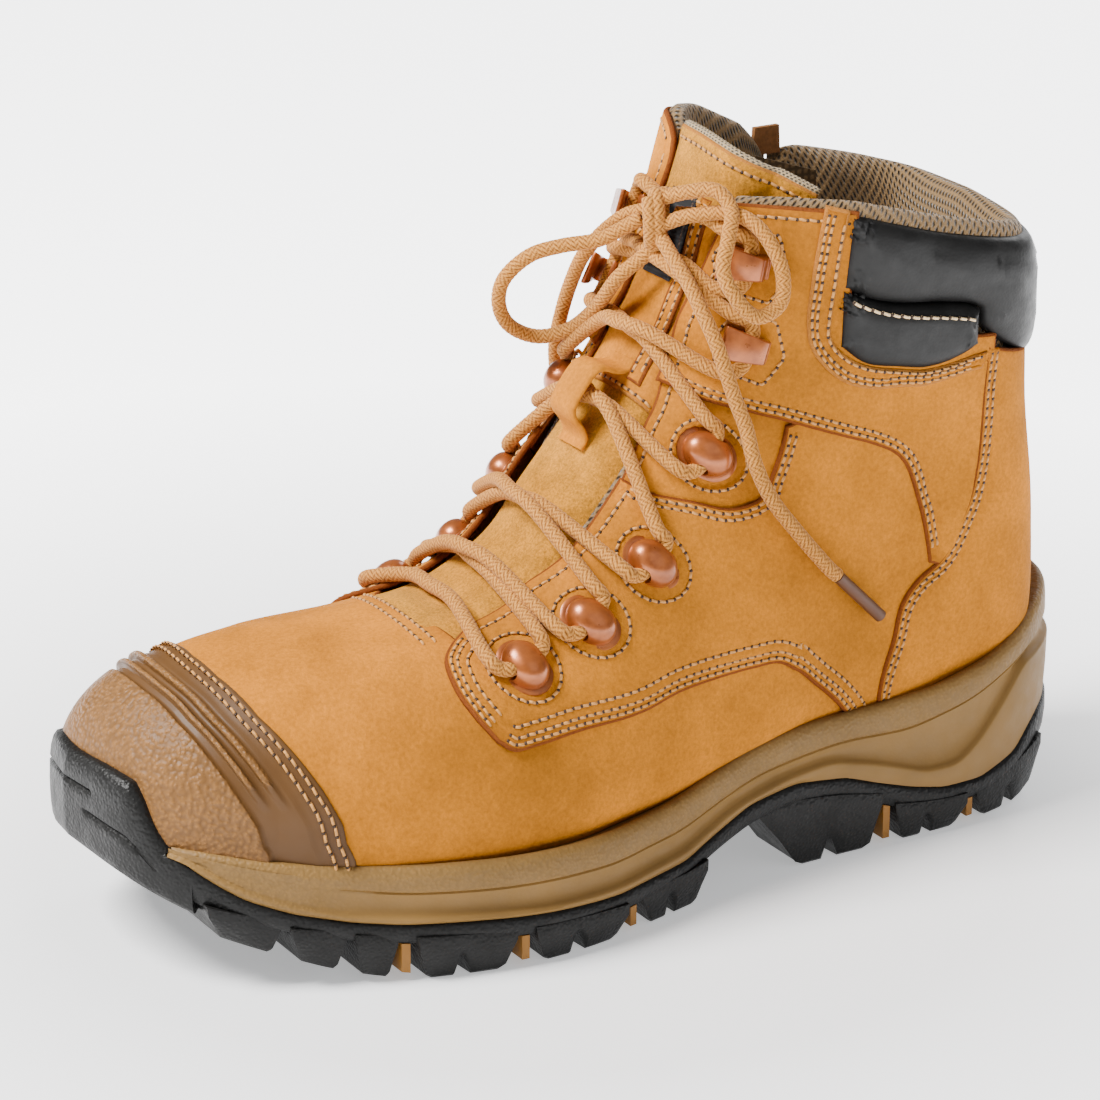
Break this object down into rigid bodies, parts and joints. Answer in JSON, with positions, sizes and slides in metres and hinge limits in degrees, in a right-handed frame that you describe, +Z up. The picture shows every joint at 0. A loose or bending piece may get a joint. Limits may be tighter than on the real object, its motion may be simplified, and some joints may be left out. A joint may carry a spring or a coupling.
{
  "type": "steel toe work boot",
  "caption": "Ankle-high lace-up safety work boot for the left foot, with a steel toe cap, moulded toe bumper, padded collar, lugged sole and an inner side zip.",
  "frame": {"origin": "on the ground, under the middle of the waist of the sole, where a middle lug rests", "axes": "+X towards the toe, +Y towards the outer side of the left foot, +Z up"},
  "size_m": [0.298, 0.1118, 0.2001],
  "materials": {
    "rubber_outsole": "matt black rubber",
    "rubber_amber": "amber gum rubber",
    "midsole_pu": "olive-tan polyurethane",
    "board": "fibre board",
    "footbed_foam": "textile-covered foam",
    "steel": "galvanised steel",
    "tpu_bumper": "tan moulded polyurethane, pebbled",
    "leather_nubuck": "wheat nubuck",
    "leather_suede": "wheat suede, napped",
    "leather_brown": "dark brown pull tab leather",
    "collar_leather": "smooth black leather",
    "mesh_lining": "olive-tan sandwich mesh",
    "foam": "foam padding",
    "stiffener": "thermoplastic heel stiffener",
    "lace": "round braided lace, cream and tan",
    "aglet": "brown film tip",
    "copper_metal": "copper-toned, satin",
    "zip_textile": "woven zip tape",
    "brass_zip": "antique brass",
    "patch": "blank black woven label"
  },
  "bodies": {
    "boot": {"outsole": "rubber_outsole", "tread_inserts": "rubber_amber", "midsole": "midsole_pu", "shank": "steel", "insole_board": "board", "footbed": "footbed_foam", "steel_toe_cap": "steel", "toe_bumper": "tpu_bumper", "vamp": "leather_nubuck", "vamp_lining": "mesh_lining", "quarter_lateral": "leather_nubuck", "quarter_medial_front": "leather_nubuck", "quarter_medial_rear": "leather_nubuck", "inset_lateral": "leather_nubuck", "inset_medial": "leather_nubuck", "ankle_band_lateral": "leather_nubuck", "ankle_band_medial": "leather_nubuck", "heel_counter": "leather_nubuck", "counter_stiffener": "stiffener", "collar_strip": "leather_nubuck", "collar_pad_upper": "collar_leather", "collar_pad_lower": "collar_leather", "collar_binding": "mesh_lining", "shaft_lining": "mesh_lining", "ankle_padding": "foam", "tongue": "leather_suede", "tongue_lining": "mesh_lining", "tongue_gusset": "leather_suede", "tongue_patch": "patch", "lace_keeper": "leather_nubuck", "eyelet_domes_lateral": "copper_metal", "eyelet_domes_medial": "copper_metal", "lace_hooks_lateral": "copper_metal", "lace_hooks_medial": "copper_metal", "eyelet_washers": "steel", "lace_run": "lace", "lace_knot": "lace", "bow_loop_left": "lace", "bow_loop_right": "lace", "lace_tail_lateral": "lace", "lace_tail_medial": "lace", "aglet_lateral": "aglet", "aglet_medial": "aglet", "zip_tape": "zip_textile", "zip_teeth": "brass_zip", "zip_stops": "brass_zip", "zip_guard": "mesh_lining", "zip_tab": "leather_brown"},
    "zip_slider": {"zip_slider": "brass_zip"},
    "zip_pull": {"zip_pull": "brass_zip"}
  },
  "joints": [
    {"name": "zip_slide", "type": "slide", "parent": "boot", "child": "zip_slider", "axis": [0, 0, -1], "range_m": [0, 0.091]},
    {"name": "zip_pull_hinge", "type": "hinge", "parent": "zip_slider", "child": "zip_pull", "pos_m": [-0.076, -0.0394, 0.17], "axis": [-1, 0, 0], "range_deg": [0, 150]}
  ]
}
